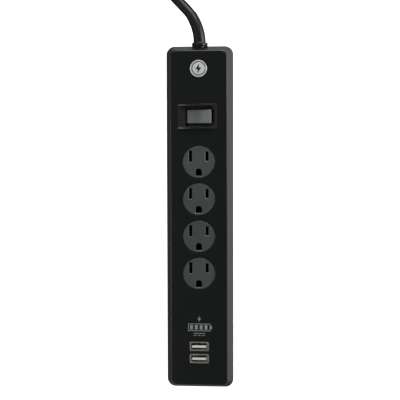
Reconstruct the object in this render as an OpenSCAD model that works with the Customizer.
// Four-outlet power strip with a rocker switch, two USB charging ports and a short mains lead.
// The strip lies on its back: +Z is up out of the outlet face, +Y runs to the cord end, and the
// origin is under the middle of the housing, on the surface that it rests on.

/* [Housing] */
// Length of the housing at the seam, along Y
body_l = 266; // [264:1:272]
// Width of the housing at the seam, along X
body_w = 52; // [51:0.5:54]
// Height of the outlet face above the back
body_h = 30; // [29.5:0.5:31]
// Height of the seam between the base and the cover
seam_z = 18; // [17:0.5:18.5]
// Thickness of the side walls and the floor
wall = 2.2; // [2:0.1:2.4]
// How far the face is set in from the seam on every side
face_inset = 4.1; // [3.6:0.1:4.4]
// Corner radius at the seam
corner_r = 6.5; // [6:0.5:8]
// Distance between the two keyhole hangers in the back
keyhole_spacing = 180; // [178:1:182]

/* [Outlets] */
// Centre of the outlet nearest to the switch, along Y
first_outlet_y = 43.8; // [43:0.1:44.5]
// Distance between neighbouring outlets
outlet_pitch = 28.7; // [28.6:0.1:29]
// Diameter of an outlet face
outlet_d = 24.6; // [24:0.1:25]

/* [Switch] */
// Middle of the rocker, along Y
switch_y = 78.6; // [78:0.1:79]
// Length of the rocker, across the strip
rocker_l = 19.3; // [19:0.1:19.6]
// Width of the rocker, along the strip
rocker_w = 10.4; // [10:0.1:10.5]
// Angle between the rocker's two settings
rocker_throw = 16; // [12:1:16]

/* [Charging ports] */
// Middle of the port nearest to the outlets, along Y
first_port_y = -98.95; // [-99.5:0.05:-98]
// Distance between the two ports
port_pitch = 9.55; // [9.5:0.05:10]

/* [Cord] */
// Diameter of the mains lead
cord_d = 8.2; // [8:0.1:8.2]
// Radius of the folded lead's round ends, at the middle of its turns
hank_r = 29.4; // [29.2:0.1:30]
// Length of the folded lead's straight runs
hank_run = 84.5; // [80:0.5:86]

/* [Hidden] */
$fn = 48;
eps = 0.01;
cut = 1; // how far a cutter runs past the face it opens

// Shells
seam_gap = 0.15;
floor_cut = wall + 2 * cut;
base_inset = 1.5;
edge_r = 0.9;
face_wall = 2.4;
cover_under = body_h - face_wall;
cover_slope = face_inset / (body_h - seam_z);

// Housing screws and the columns that they hold
screw_x = 18;
screw_y = [-121, 0.75, 121];
column_r = 3.4;
column_top = 8;
boss_r = 2.9;
screw_shank_r = 1.45;
screw_head_r = 2.8;
screw_seat = 5;

// Outlets
OUTLETS = [for (i = [0:3]) first_outlet_y - i * outlet_pitch];
slot_x = 6.35;
slot_dy = 4.35;
slot_w = 2.4;
neutral_slot = 8.6;
line_slot = 7.1;
ground_dy = -7.55;
ground_w = 4.9;
ground_foot = 3.05;
flange_r = 14.2;
flange_z = 25.7;
flange_t = 1.8;

// Contact tray and the three bus bars
tray_z = 6.4;
tray_t = 1;
tray_w = 26;
tray_l = 116;
tray_y = (OUTLETS[0] + OUTLETS[3]) / 2;
bus_z = tray_z + tray_t;
bus_t = 0.8;
bus_l = 112;
leaf_t = 0.5;
leaf_l = 7;
leaf_top = 24.6;
blade_gap = 1.6;
pin_gap = 5;

// Switch
pivot = [0.68, switch_y, 25.2];
recess_z = 28;
recess_w = 16;
guard_h = 2.5;
guard_t = 1.5;
guard_left = -15.8;
guard_right = 13.6;
rocker_reach = 4.9;
rocker_lip = 2;
rocker_dish = 1.1;
trunnion_r = 1.5;
running = 0.06;
stem_r = 2.6;
stem_bottom = -7;
plunger_r = 1.22;
plunger_tip = -10;
arm_tilt = 5;
arm_z = 13.95;
switch_floor = 10;

// Charging ports and the charger board
port_x = 0.2;
PORTS = [first_port_y, first_port_y - port_pitch];
port_open = [12.5, 5.12];
port_rim = [14.6, 7.2];
shell_t = 0.3;
board_z = 9;
board_t = 1.6;
board_top = board_z + board_t;
board_y = -96;
board_size = [28, 60];
post_x = 11;
post_y = [-122, -70];

// The lead's route, from the gland to where the coil starts
gland_z = 17;
gland_r = 4.9;
gland_flange_r = 6.2;
cord_r = cord_d / 2;
LEAD = [
    [0, 135.6, 17], [-0.4, 141.4, 16.9], [-1.8, 147.1, 16.5], [-3.9, 152.4, 15.6],
    [-6.9, 157.5, 14.3], [-10.6, 161.9, 12.7], [-14.7, 166.1, 10.7], [-18.7, 170.3, 8.8],
    [-22.6, 174.6, 6.9], [-26, 179.3, 5.3], [-28.8, 184.4, 4.4], [-31, 189.8, 4.1],
    [-32.5, 195.5, 4.1], [-33.3, 201.2, 4.1], [-33.6, 206, 4.1]
];
sleeve_end = 4;
ring_step = 2;

// The hank that the rest of the lead is folded into, and the end that runs on into the plug
hank_start = 206;
hank_end = hank_start + hank_run;
turn_gap = 4.2;
top_turn_z = cord_r + cord_d * sin(60);
TAIL = [[-hank_r, hank_end - 8, 11.2], [-29, hank_end - 2, 11.6], [-28, hank_end + 6, 12.1],
    [-26.6, hank_end + 14, 12.6], [-25.3, hank_end + 22, 12.9], [-24.6, hank_end + 30, 13]];
tie_t = 0.9;
tie_w = 9;
tie_y = hank_start + 0.45 * hank_run;
plug_at = [-24.4, hank_end + 30, 13];

// Half outline of the moulded plug: distance along the cord, then radius
PLUG_OUTLINE = [[0, 0], [0, 4.8], [17, 6.4], [22, 11.2], [24, 12.2], [28, 12.6], [34, 11.8],
    [40, 12.4], [45, 13.4], [51, 13.4], [52, 12.4], [52, 0]];
plug_length = 52;
plug_face = plug_at[1] + plug_length;
plug_blade_z = 17.1;
plug_pin_z = 5.2;
plug_pin_r = 2.4;
plug_pin_l = 18.6;

// Colours
shell_black = [0.07, 0.07, 0.08];
outlet_grey = [0.25, 0.26, 0.26];
ivory = [0.85, 0.84, 0.8];
brass = [0.8, 0.62, 0.28];
nickel = [0.72, 0.73, 0.74];
steel = [0.55, 0.56, 0.58];
copper = [0.78, 0.45, 0.25];
board_green = [0.08, 0.32, 0.16];

// ---- shapes that several pieces share ----

// A block with rounded upright corners, standing on z = 0
module rounded_block(w, l, r, h) {
    translate([-w / 2 + r, -l / 2, 0]) cube([w - 2 * r, l, h]);
    translate([-w / 2, -l / 2 + r, 0]) cube([w, l - 2 * r, h]);
    for (x = [-1, 1], y = [-1, 1])
        translate([x * (w / 2 - r), y * (l / 2 - r), 0]) cylinder(r = r, h = h);
}

// One thin level of a drafted shell: the four corners at height z, set in from the seam outline
module level(z, inset, r) {
    for (x = [-1, 1], y = [-1, 1])
        translate([x * (body_w / 2 - inset - r), y * (body_l / 2 - inset - r), z])
            cylinder(r = r, h = eps, $fn = 32);
}

// A cylinder along Y that starts at p
module rod_y(p, r, h) {
    translate(p) rotate([-90, 0, 0]) cylinder(r = r, h = h);
}

// A round bar swept along a path; the radius may change from ring to ring
function unit(v) = v / norm(v);
function heading(path, i) =
    unit(path[min(i + 1, len(path) - 1)] - path[max(i - 1, 0)]);
function ring(p, t, r, sides) =
    let (side = unit(cross(t, [0, 0, 1])), up = cross(side, t))
    [for (k = [0 : sides - 1]) let (a = 360 * k / sides) p + r * (cos(a) * side + sin(a) * up)];

module sweep(path, radii, sides) {
    rings = len(path);
    points = [for (i = [0 : rings - 1]) each ring(path[i], heading(path, i), radii[i], sides)];
    walls = [for (i = [0 : rings - 2], k = [0 : sides - 1])
        let (a = i * sides + k, b = i * sides + (k + 1) % sides) [a, b, b + sides, a + sides]];
    start = [for (k = [sides - 1 : -1 : 0]) k];
    end = [for (k = [0 : sides - 1]) (rings - 1) * sides + k];
    polyhedron(points, concat([start], walls, [end]), convexity = 6);
}

module wire(path, r) {
    sweep(path, [for (p = path) r], 8);
}

// ---- housing ----

module cover_skin(inset, top) {
    slope = cover_slope * (top - seam_z);
    hull() {
        level(seam_z + seam_gap, inset, corner_r - inset);
        level(top - edge_r, inset + slope * 0.93, corner_r - 1.9 - inset / 2);
        level(top - edge_r * 0.3, inset + slope * 0.97 + 0.1, corner_r - 2 - inset / 2);
        level(top - eps, inset + slope + 0.5, corner_r - 2.2 - inset / 2);
    }
}

module guard_ridge(y) {
    span = guard_right - guard_left;
    guard_r = (pow(span, 2) / 4 + pow(guard_h, 2)) / (2 * guard_h);
    intersection() {
        rod_y([(guard_left + guard_right) / 2, y, body_h + guard_h - guard_r], guard_r, guard_t, $fn = 96);
        translate([guard_left, y, body_h - 1]) cube([span, guard_t, guard_h + 2]);
    }
}

// The trough that the rocker sits in, with a ramp at each end
module switch_trough() {
    translate([0, switch_y + recess_w / 2, 0]) rotate([90, 0, 0]) linear_extrude(recess_w)
        polygon([[guard_left, body_h], [-10.2, recess_z], [10.9, recess_z],
                 [guard_right, body_h], [guard_right, body_h + 4], [guard_left, body_h + 4]]);
}

module top_cover() {
    color(shell_black) difference() {
        union() {
            difference() {
                cover_skin(0, body_h);
                translate([0, 0, -eps]) cover_skin(wall, cover_under);
                translate([-body_w, -body_l, 0]) cube([body_w * 2, body_l * 2, seam_z + seam_gap]);
            }
            for (y = [switch_y - recess_w / 2 - guard_t, switch_y + recess_w / 2]) guard_ridge(y);
            translate([-13.5, switch_y - 9, 26.9]) cube([26.5, 18, 1.3]);
            for (x = [-screw_x, screw_x], y = screw_y)
                translate([x, y, column_top + 0.2]) cylinder(r = boss_r, h = cover_under - column_top);
        }
        for (y = OUTLETS)
            translate([0, y, 24]) cylinder(r = outlet_d / 2 + 0.25, h = 8);
        switch_trough();
        translate([pivot[0] - 10.6, switch_y - 5.6, 24]) cube([21.2, 11.2, 8]);
        for (y = PORTS)
            translate([port_x, y, 24]) rounded_block(port_rim[0] + 0.3, port_rim[1] + 0.3, 1, 8);
        translate([0, 115.1, body_h - 0.8]) cylinder(r = 6.65, h = 2);
        rod_y([0, body_l / 2 - 8, gland_z], 5, 10);
        for (x = [-screw_x, screw_x], y = screw_y)
            translate([x, y, column_top]) cylinder(r = screw_shank_r + 0.05, h = 12);
    }
}

// A hanger: a round hole for the screw head and a narrow slot that runs towards the cord end
module keyhole(y) {
    translate([0, y, -cut]) cylinder(r = 4, h = floor_cut);
    translate([-2.1, y, -cut]) cube([4.2, 7, floor_cut]);
    translate([0, y + 7, -cut]) cylinder(r = 2.1, h = floor_cut);
    translate([-4.6, y - 4.6, wall]) cube([9.2, 16, 3]);
}

module base_shell() {
    color(shell_black) difference() {
        union() {
            difference() {
                hull() {
                    level(0, base_inset + 0.5, corner_r - 1.5);
                    level(0.8, base_inset, corner_r - 1);
                    level(seam_z - eps, 0, corner_r);
                }
                hull() {
                    level(wall, base_inset + wall, corner_r - wall - 0.5);
                    level(seam_z + cut, wall, corner_r - wall);
                }
            }
            for (x = [-screw_x, screw_x], y = screw_y)
                translate([x, y, 0.2]) cylinder(r = column_r, h = column_top - 0.2);
            for (x = [-11.4, 11.4], y = [OUTLETS[0] + 6, tray_y, OUTLETS[3] - 6])
                translate([x, y, wall - 0.2]) cylinder(r = 2, h = tray_z - wall + 0.2);
            for (x = [-post_x, post_x], y = post_y)
                translate([x, y, wall - 0.2]) cylinder(r = 2.6, h = board_z - wall + 0.2);
            for (x = [-9.5, 9.5])
                translate([x - 0.8, switch_y - 6, wall - 0.2]) cube([1.6, 12, switch_floor - wall + 0.2]);
            for (y = [-1, 1] * keyhole_spacing / 2)
                translate([-5.8, y - 5.8, wall - 0.2]) cube([11.6, 18.4, 4.2]);
        }
        for (x = [-screw_x, screw_x], y = screw_y) {
            translate([x, y, -cut]) cylinder(r = screw_head_r + 0.3, h = screw_seat + cut);
            translate([x, y, 0]) cylinder(r = screw_shank_r + 0.25, h = column_top + cut);
        }
        for (x = [-post_x, post_x], y = post_y)
            translate([x, y, wall + 1]) cylinder(r = 1.05, h = board_z);
        for (y = [-1, 1] * keyhole_spacing / 2) keyhole(y);
        rod_y([0, body_l / 2 - 8, gland_z], 5, 10);
    }
}

// Pan-head screw standing head down on z = 0
module screw(head_r, head_h, shank_r, length) {
    difference() {
        union() {
            cylinder(r = head_r, h = head_h);
            cylinder(r = shank_r, h = head_h + length);
        }
        for (a = [0, 90]) rotate(a)
            translate([-head_r * 0.6, -0.35, -cut]) cube([head_r * 1.2, 0.7, cut + 0.9]);
    }
}

module housing_screws() {
    color(steel) for (x = [-screw_x, screw_x], y = screw_y)
        translate([x, y, screw_seat - 1.9]) screw(screw_head_r, 1.85, screw_shank_r, 13);
}

module badge() {
    color(nickel) translate([0, 115.1, body_h - 0.78]) {
        cylinder(r = 6.5, h = 1.1);
        difference() {
            cylinder(r = 6.5, h = 1.3);
            translate([0, 0, -cut]) cylinder(r = 5.9, h = 4);
        }
    }
}

// ---- outlets and their contacts ----

module outlet_face(i) {
    color(outlet_grey) translate([0, OUTLETS[i], 0]) difference() {
        union() {
            translate([0, 0, flange_z]) cylinder(r = flange_r, h = flange_t);
            translate([0, 0, flange_z]) cylinder(r = outlet_d / 2, h = body_h - 0.1 - flange_z);
        }
        translate([-slot_x - slot_w / 2, slot_dy - neutral_slot / 2, 20]) cube([slot_w, neutral_slot, 14]);
        translate([slot_x - slot_w / 2, slot_dy - line_slot / 2, 20]) cube([slot_w, line_slot, 14]);
        translate([0, ground_dy, 20]) cylinder(r = ground_w / 2, h = 14);
        translate([-ground_w / 2, ground_dy - ground_foot, 20]) cube([ground_w, ground_foot, 14]);
    }
}

module contact_tray() {
    rib_x = 4.1;
    color(shell_black) {
        translate([-tray_w / 2, tray_y - tray_l / 2, tray_z]) cube([tray_w, tray_l, tray_t]);
        for (x = [-1, 1])
            translate([x * rib_x - 0.35, tray_y - tray_l / 2 + 1, tray_z + 0.5]) cube([0.7, tray_l - 2, 5]);
        for (x = [-11.2, 11.2], y = OUTLETS)
            translate([x, y, tray_z + 0.5]) cylinder(r = 1.6, h = flange_z - tray_z - 0.5);
    }
}

// Two upright leaves that grip what is pushed between them, standing on a bus bar
module leaf_pair(x, y, gap, length) {
    for (side = [-1, 1])
        translate([x + side * (gap + leaf_t) / 2 - leaf_t / 2, y - length / 2, bus_z + bus_t / 2])
            cube([leaf_t, length, leaf_top - bus_z - bus_t / 2]);
}

module blade_bus(x, strip_x) {
    color(brass) {
        translate([strip_x - 2.2, tray_y - bus_l / 2, bus_z]) cube([4.4, bus_l, bus_t]);
        for (y = OUTLETS) leaf_pair(x, y + slot_dy, blade_gap, leaf_l);
    }
}

module neutral_bus() { blade_bus(-slot_x, -6.8); }
module line_bus() { blade_bus(slot_x, 6.8); }

module ground_bus() {
    color(brass) {
        translate([-1.6, tray_y - bus_l / 2, bus_z]) cube([3.2, bus_l, bus_t]);
        for (y = OUTLETS) {
            translate([-3, y + ground_dy - 2.5, bus_z]) cube([6, 5, bus_t]);
            leaf_pair(0, y + ground_dy, pin_gap, 5);
        }
    }
}

// ---- rocker switch ----

module switch_body() {
    color(shell_black) difference() {
        translate([pivot[0] - 12.3, switch_y - 7.4, switch_floor]) cube([24.6, 14.8, 16.1]);
        translate([pivot[0] - 10.8, switch_y - 5.5, switch_floor + 1.4]) cube([21.6, 11, 20]);
        rod_y([pivot[0], switch_y - 10, pivot[2]], trunnion_r + running, 20);
        translate([pivot[0] - 2, switch_y - 1.4, switch_floor - cut]) cube([4, 2.8, 4]);
        translate([pivot[0] + 4.8, switch_y - 1.8, switch_floor - cut]) cube([2.4, 3.6, 4]);
    }
}

// The rocker's outline in its own plane, with the pivot at [0, 0]: a shallow dish, a sloping end
// face on each side of it, and an underside that clears the housing as it tips
function rocker_outline() =
    let (half = rocker_l / 2, dish_half = half - rocker_lip, dish_bottom = rocker_reach - rocker_dish,
         dish_r = (pow(dish_half, 2) + pow(rocker_dish, 2)) / (2 * rocker_dish))
    concat(
        [[-half, rocker_reach - 1]],
        [for (i = [-6 : 6]) let (x = dish_half * i / 6)
            [x, dish_bottom + dish_r - sqrt(pow(dish_r, 2) - pow(x, 2))]],
        [[half, rocker_reach - 1], [half - 0.3, -0.5], [half - 3, -2.2], [3.2, -2.8],
         [-3.2, -2.8], [3 - half, -2.2], [0.3 - half, -0.5]]);

// Places children in the rocker's own plane at its resting tilt
module at_rocker() {
    translate(pivot) rotate([0, -rocker_throw / 2, 0]) children();
}

module rocker() {
    color(outlet_grey) at_rocker() difference() {
        union() {
            translate([0, rocker_w / 2, 0]) rotate([90, 0, 0])
                linear_extrude(rocker_w) polygon(rocker_outline());
            rod_y([0, -rocker_w / 2 - 1.4, 0], trunnion_r, rocker_w + 2.8);
            translate([0, 0, stem_bottom]) cylinder(r = stem_r, h = 6);
        }
        translate([0, 0, stem_bottom - cut]) cylinder(r = plunger_r + running, h = 7);
    }
}

module plunger() {
    color(ivory) at_rocker() {
        translate([0, 0, plunger_tip + plunger_r]) cylinder(r = plunger_r, h = 4.6);
        translate([0, 0, plunger_tip + plunger_r]) sphere(r = plunger_r);
    }
}

module plunger_spring() {
    low = plunger_tip + plunger_r + 4.85;
    high = stem_bottom + 5.75;
    turns = 4;
    steps = 12 * turns;
    helix = [for (i = [0 : steps]) let (a = 360 * turns * i / steps)
        [0.85 * cos(a), 0.85 * sin(a), low + (high - low) * i / steps]];
    color(steel) at_rocker() sweep(helix, [for (p = helix) 0.16], 6);
}

module contact_arm() {
    color(copper) translate([pivot[0], switch_y, arm_z]) rotate([0, arm_tilt, 0]) {
        translate([-7.6, -1.6, 0.3]) cube([15.2, 3.2, 0.8]);
        rod_y([0, -1.3, 0], 1, 2.6);
        translate([6, 0, -0.5]) cylinder(r = 1.4, h = 1);
    }
}

module fulcrum_terminal() {
    color(brass) difference() {
        translate([pivot[0] - 1.8, switch_y - 1.2, 5]) cube([3.6, 2.4, arm_z - 5]);
        rod_y([pivot[0], switch_y - 3, arm_z], 1 + running, 6);
    }
}

module load_terminal() {
    color(brass) translate([pivot[0] + 6, switch_y, 0]) {
        translate([-1, -1.6, 5]) cube([2, 3.2, arm_z - 6.8]);
        translate([0, 0, arm_z - 2]) cylinder(r = 1.4, h = 0.75);
    }
}

// ---- charger ----

module charger_board() {
    color(board_green) difference() {
        translate([-board_size[0] / 2, board_y - board_size[1] / 2, board_z])
            cube([board_size[0], board_size[1], board_t]);
        for (x = [-post_x, post_x], y = post_y)
            translate([x, y, board_z - cut]) cylinder(r = 1.3, h = 4);
    }
}

module board_screws() {
    color(steel) for (x = [-post_x, post_x], y = post_y)
        translate([x, y, board_top + 1.35]) mirror([0, 0, 1]) screw(2, 1.3, 1, 6);
}

module usb_bezel(i) {
    color(nickel) translate([port_x, PORTS[i], 0]) difference() {
        union() {
            translate([0, 0, 26]) rounded_block(port_rim[0], port_rim[1], 0.9, body_h - 26 + 0.1);
            translate([0, 0, 26]) rounded_block(port_rim[0] + 2.4, port_rim[1] + 1.8, 0.9, 1.4);
        }
        translate([0, 0, 20])
            rounded_block(port_open[0] + 2 * shell_t + 0.1, port_open[1] + 2 * shell_t + 0.1, 0.5, 14);
    }
}

module usb_shell(i) {
    color(nickel) translate([port_x, PORTS[i], board_top]) difference() {
        rounded_block(port_open[0] + 2 * shell_t, port_open[1] + 2 * shell_t, 0.5, body_h - board_top);
        translate([0, 0, 1]) rounded_block(port_open[0], port_open[1], 0.25, 30);
    }
}

// The tongue stands on the moulding that fills the foot of the shell
module usb_tongue(i) {
    color(ivory) translate([port_x, PORTS[i], board_top + 1]) {
        translate([-port_open[0] / 2 + 0.05, -port_open[1] / 2 + 0.05, 0.02])
            cube([port_open[0] - 0.1, port_open[1] - 0.1, 6]);
        translate([-5.55, -1.25, 3]) cube([11.1, 1.9, body_h - 0.6 - board_top - 4]);
    }
}

module usb_pins(i) {
    color(brass) for (x = [-3.5, -1, 1, 3.5])
        translate([port_x + x - 0.5, PORTS[i] + 0.66, board_top + 7.1]) cube([1, 0.25, 11]);
}

module transformer_core() {
    color([0.16, 0.16, 0.17]) translate([-4.5, -79, board_top]) difference() {
        translate([-7, -6.5, 0]) cube([14, 13, 12]);
        translate([-4.8, -8, 2]) cube([9.6, 16, 8]);
    }
}

module transformer_winding() {
    color([0.85, 0.75, 0.2]) translate([-4.5, -79, board_top + 2.1])
        translate([-4.7, -7.5, 0]) cube([9.4, 15, 7.8]);
}

module input_capacitor() {
    color([0.12, 0.14, 0.2]) translate([8.6, -79.5, board_top]) cylinder(r = 4, h = 14);
}

module output_capacitors() {
    color([0.12, 0.14, 0.2]) for (x = [-10, 10.5])
        translate([x, -90.5, board_top]) cylinder(r = 2.6, h = 9);
}

module charger_chips() {
    color([0.1, 0.1, 0.1]) {
        translate([-3, -92, board_top]) cube([5, 4, 1.6]);
        translate([-3, -119, board_top]) cube([6, 4, 1.6]);
    }
}

module charger_fuse() {
    color(ivory) rod_y([1.6, -72.1, board_top + 1.5], 1.4, 5.6);
}

// ---- wiring inside the housing ----

module line_wire() {
    color([0.1, 0.1, 0.1]) wire([[2.6, 126.3, 17], [3.2, 120, 16.6], [6, 113, 14], [9, 106, 9],
        [10.2, 99, 5], [8.6, 91, 4.4], [7.25, 86.8, 4.2], [7, 84, 4.2], [5.2, 82.2, 4.4],
        [3, 81, 5.2], [0.9, 80.4, 6.4]], 1.3);
}

module switched_wire() {
    color([0.1, 0.1, 0.1]) wire([[6.7, 76.7, 6.5], [6.9, 73, 5], [7.4, 68.5, 4.4], [7.7, 64.8, 5.4],
        [7.5, 61.8, 8], [7.3, 58.4, 9.9], [7.2, 54.5, 9.8], [7.2, 52.5, 9.4]], 1.3);
}

module neutral_wire() {
    color([0.9, 0.9, 0.88]) wire([[-2.6, 126.3, 17], [-3.2, 120, 16.6], [-6, 113, 14], [-9.5, 106, 9],
        [-12.5, 98, 4.6], [-13.5, 86, 4.2], [-13, 74, 4.2], [-11, 68.5, 4.3], [-8.8, 64.6, 5.4],
        [-7.6, 61.8, 8], [-7.1, 58.4, 9.9], [-7, 54.5, 9.8], [-7, 52.5, 9.4]], 1.3);
}

module ground_wire() {
    color([0.1, 0.5, 0.2]) wire([[0, 126.3, 19.6], [0, 120, 19], [-1.5, 112, 16], [-5.4, 104.5, 10.4],
        [-8.2, 97, 6.4], [-7.5, 89.5, 4.6], [-7.2, 84.2, 4.2], [-6.2, 78, 4.2], [-3.6, 70, 4.2],
        [-1.6, 66, 4.6], [-0.4, 63.2, 6.2], [0, 60.8, 8.6], [0, 57.8, 9.9], [0, 55, 9.6],
        [0, 53.6, 9.4]], 1.3);
}

module charger_line_wire() {
    color([0.1, 0.1, 0.1]) wire([[7, -52, 9.3], [7.2, -55.5, 9.2], [7.6, -59, 11], [7.8, -63, 13],
        [7, -67.5, 13.2], [6.2, -71, 11.8]], 0.9);
}

module charger_neutral_wire() {
    color([0.9, 0.9, 0.88]) wire([[-7, -52, 9.3], [-7.2, -55.5, 9.2], [-7.6, -59, 11], [-7.4, -63, 13],
        [-5.6, -67, 13.2], [-4.6, -70.5, 11.8]], 0.9);
}

// ---- lead, coil and plug ----

module strain_relief() {
    color([0.04, 0.04, 0.045]) {
        rod_y([0, 126.4, gland_z], gland_flange_r, 2.2);
        rod_y([0, 126.6, gland_z], gland_r, 8.8);
        rod_y([0, body_l / 2 + 0.1, gland_z], gland_flange_r, 2.5);
        path = [for (i = [0 : sleeve_end]) LEAD[i] - (i == 0 ? [0, 0.6, 0] : [0, 0, 0])];
        sweep(path, [for (i = [0 : sleeve_end]) cord_r + 0.45 - 0.4 * i / sleeve_end], 12);
    }
}

module cord() {
    path = [for (i = [sleeve_end : ring_step : len(LEAD) - 1]) LEAD[i]];
    color([0.04, 0.04, 0.045]) sweep(path, [for (p = path) cord_r], 10);
}

// The outline of a loop with straight sides and round ends, its edge at this radius
module loop_outline(r) {
    hull() for (y = [hank_start, hank_end]) translate([0, y]) circle(r = r, $fn = 96);
}

module loop_band(inner, outer) {
    difference() {
        loop_outline(outer);
        loop_outline(inner);
    }
}

// Two turns side by side on the floor, and a third run over the near end and up the left side
module cord_coil() {
    color([0.04, 0.04, 0.045]) {
        linear_extrude(cord_d) loop_band(hank_r - turn_gap - cord_r, hank_r + turn_gap + cord_r);
        linear_extrude(top_turn_z + cord_r) intersection() {
            loop_band(hank_r - cord_r, hank_r + cord_r);
            union() {
                translate([-50, hank_start - 50]) square([100, 50]);
                translate([-50, hank_start - 50]) square([50, hank_run + 42]);
            }
        }
    }
}

module cord_tail() {
    color([0.04, 0.04, 0.045]) sweep(TAIL, [for (p = TAIL) cord_r - 0.1], 10);
}

module bundle_outline() {
    hull() {
        for (dx = [-turn_gap, turn_gap]) translate([dx, cord_r]) circle(r = cord_r);
        translate([0, top_turn_z]) circle(r = cord_r);
    }
}

// A strap round the three runs on the left, open where it lies on the floor
module cord_tie() {
    color([0.12, 0.12, 0.13]) translate([-hank_r, tie_y + tie_w / 2, 0])
        rotate([90, 0, 0]) linear_extrude(tie_w) difference() {
            offset(r = tie_t) bundle_outline();
            bundle_outline();
            translate([-50, -5]) square([100, 5]);
        }
}

module plug_body() {
    color([0.04, 0.04, 0.045]) intersection() {
        translate(plug_at) rotate([-90, 0, 0])
            rotate_extrude() polygon([for (p = PLUG_OUTLINE) [p[1], p[0]]]);
        translate([plug_at[0] - 30, plug_at[1] - 5, 0]) cube([60, 80, 40]);
    }
}

// One blade, on the left or right of the plug's face, with the hole near its tip
module plug_blade(side) {
    color(brass) translate([plug_at[0] + side * slot_x, plug_face, plug_blade_z]) difference() {
        translate([-0.76, 0, -3.17]) cube([1.52, 16.5, 6.35]);
        translate([-cut, 13, 0]) rotate([0, 90, 0]) cylinder(r = 1.6, h = 4);
    }
}

module plug_line_blade() { plug_blade(1); }
module plug_neutral_blade() { plug_blade(-1); }

module plug_ground_pin() {
    color(brass) {
        rod_y([plug_at[0], plug_face, plug_pin_z], plug_pin_r, plug_pin_l);
        translate([plug_at[0], plug_face + plug_pin_l, plug_pin_z]) sphere(r = plug_pin_r);
    }
}

top_cover();
base_shell();
housing_screws();
badge();
outlet_face(0);  // outlet_face_1
outlet_face(1);  // outlet_face_2
outlet_face(2);  // outlet_face_3
outlet_face(3);  // outlet_face_4
contact_tray();
neutral_bus();
line_bus();
ground_bus();
switch_body();
rocker();
plunger();
plunger_spring();
contact_arm();
fulcrum_terminal();
load_terminal();
charger_board();
board_screws();
usb_bezel(0);  // usb_bezel_1
usb_bezel(1);  // usb_bezel_2
usb_shell(0);  // usb_shell_1
usb_shell(1);  // usb_shell_2
usb_tongue(0);  // usb_tongue_1
usb_tongue(1);  // usb_tongue_2
usb_pins(0);  // usb_pins_1
usb_pins(1);  // usb_pins_2
transformer_core();
transformer_winding();
input_capacitor();
output_capacitors();
charger_chips();
charger_fuse();
line_wire();
switched_wire();
neutral_wire();
ground_wire();
charger_line_wire();
charger_neutral_wire();
strain_relief();
cord();
cord_coil();
cord_tail();
cord_tie();
plug_body();
plug_line_blade();
plug_neutral_blade();
plug_ground_pin();
